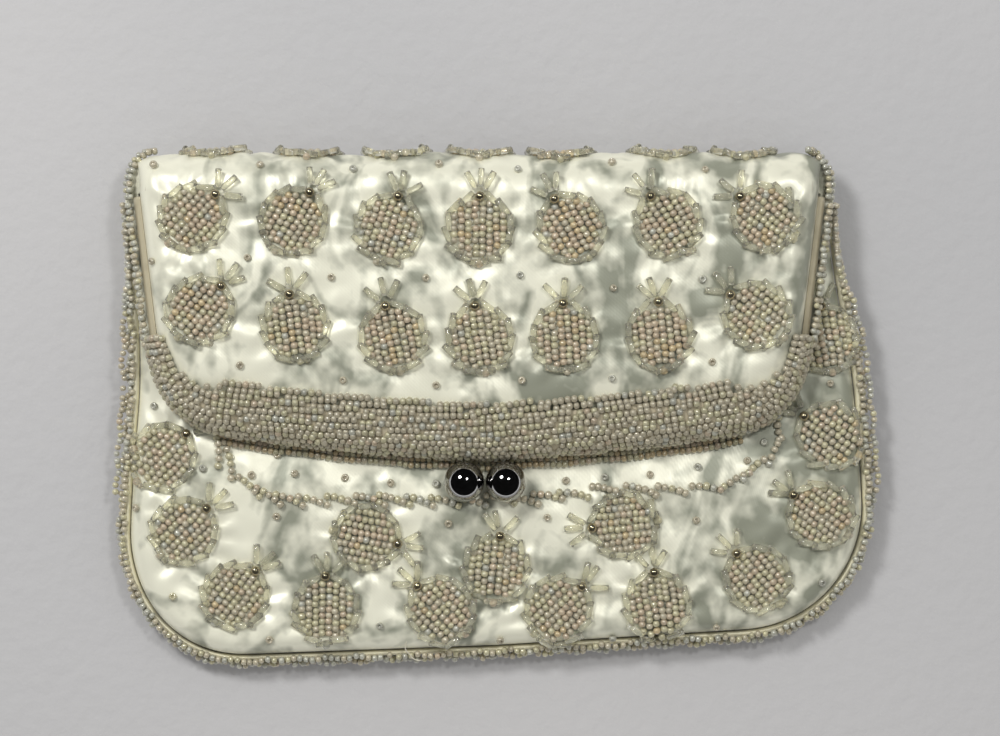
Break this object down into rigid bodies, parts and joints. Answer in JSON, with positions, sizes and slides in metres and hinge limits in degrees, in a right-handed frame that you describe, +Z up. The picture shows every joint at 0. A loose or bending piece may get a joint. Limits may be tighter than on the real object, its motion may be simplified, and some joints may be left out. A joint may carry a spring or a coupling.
{
  "type": "beaded evening handbag",
  "caption": "Ivory satin evening clutch with beaded berry motifs, a beaded flap edge and a kiss-lock frame with two polished balls; the flap swings open on the frame's hinge.",
  "frame": {"origin": "middle of the bag's outline, on the table it lies on", "axes": "+X across the bag to its right, +Y from the bottom seam towards the fold, +Z up from the table, square to the back of the bag"},
  "size_m": [0.2312, 0.1558, 0.0288],
  "materials": {
    "satin": "ivory duchess satin with fine twill, soft sheen, puckered round the beads",
    "lining_cloth": "plain cream lining cloth",
    "binding_cloth": "yellowish cream satin binding in the seam",
    "frame_steel": "plated steel channel",
    "clasp_chrome": "dark polished chrome",
    "pearl_beads": "pearly mauve grey seed beads with some peach and tan ones",
    "berry_beads": "pearly seed beads ringed by champagne bugle beads, with a dark gold pearl at the stem"
  },
  "bodies": {
    "pouch": {"back_panel": "satin", "back_lining": "lining_cloth", "front_panel": "satin", "front_lining": "lining_cloth", "fold_panel": "satin", "fold_lining": "lining_cloth", "front_berry_1": "berry_beads", "front_berry_2": "berry_beads", "front_berry_3": "berry_beads", "front_berry_4": "berry_beads", "front_berry_5": "berry_beads", "front_berry_6": "berry_beads", "front_berry_7": "berry_beads", "front_berry_8": "berry_beads", "front_berry_9": "berry_beads", "front_berry_10": "berry_beads", "front_berry_11": "berry_beads", "front_berry_12": "berry_beads", "front_berry_13": "berry_beads", "front_berry_14": "berry_beads", "lower_frame_arm": "frame_steel", "left_hinge_rivet": "frame_steel", "right_hinge_rivet": "frame_steel", "right_clasp_ball": "clasp_chrome", "lower_bead_band": "pearl_beads", "edge_binding": "binding_cloth", "edge_beads": "pearl_beads", "front_bead_arc": "pearl_beads"},
    "flap": {"flap_panel": "satin", "flap_lining": "lining_cloth", "flap_berry_1": "berry_beads", "flap_berry_2": "berry_beads", "flap_berry_3": "berry_beads", "flap_berry_4": "berry_beads", "flap_berry_5": "berry_beads", "flap_berry_6": "berry_beads", "flap_berry_7": "berry_beads", "flap_berry_8": "berry_beads", "flap_berry_9": "berry_beads", "flap_berry_10": "berry_beads", "flap_berry_11": "berry_beads", "flap_berry_12": "berry_beads", "flap_berry_13": "berry_beads", "flap_berry_14": "berry_beads", "upper_frame_arm": "frame_steel", "left_clasp_ball": "clasp_chrome", "upper_bead_band": "pearl_beads", "left_flap_beads": "pearl_beads", "right_flap_beads": "pearl_beads"}
  },
  "joints": [
    {"name": "frame_hinge", "type": "hinge", "parent": "pouch", "child": "flap", "pos_m": [0, 0.06452, 0.014], "axis": [-1, 0, 0], "range_deg": [0, 65], "deforming": ["fold_panel", "fold_lining"]}
  ]
}
